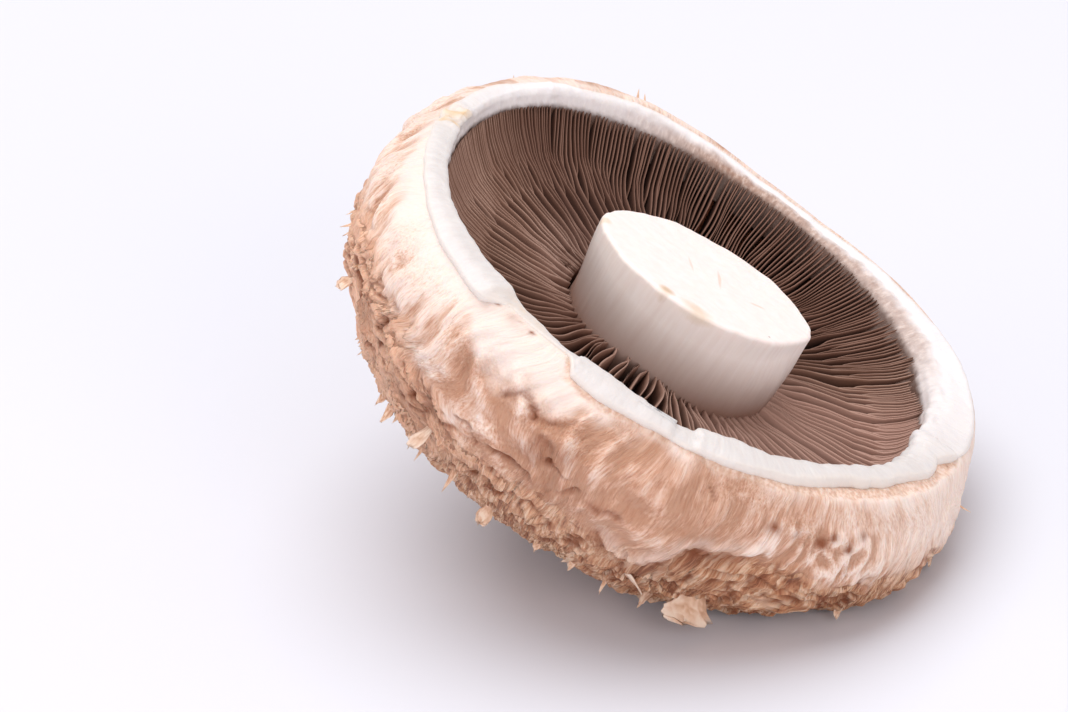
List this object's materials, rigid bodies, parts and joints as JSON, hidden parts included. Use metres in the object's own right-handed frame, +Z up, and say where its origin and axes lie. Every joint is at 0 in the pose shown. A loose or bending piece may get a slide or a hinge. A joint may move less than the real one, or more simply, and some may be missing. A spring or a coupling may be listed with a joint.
{
  "type": "portobello mushroom",
  "caption": "Open portobello mushroom with its stem cut short, lying cap down and leaning on the flattened side of its cap, its gills facing up inside a folded white rim.",
  "frame": {"origin": "on the surface that the mushroom lies on, under the centre of its bounding box", "axes": "+Z up; +X the way the stem leans and the rim's low side; +Y towards the back of the cap, away from a viewer who looks into the gills"},
  "size_m": [0.0976, 0.102, 0.065],
  "materials": {
    "cap_skin": "dry, fibrous and scaly, matt",
    "veil": "waxy, smooth, soft satin",
    "gills": "soft, matt, with paler edges",
    "stem_flesh": "fine fibres along the stem, soft satin"
  },
  "bodies": {
    "root": {"cap": "cap_skin", "veil_remnant": "veil", "gills": "gills", "stem": "stem_flesh"}
  },
  "joints": []
}
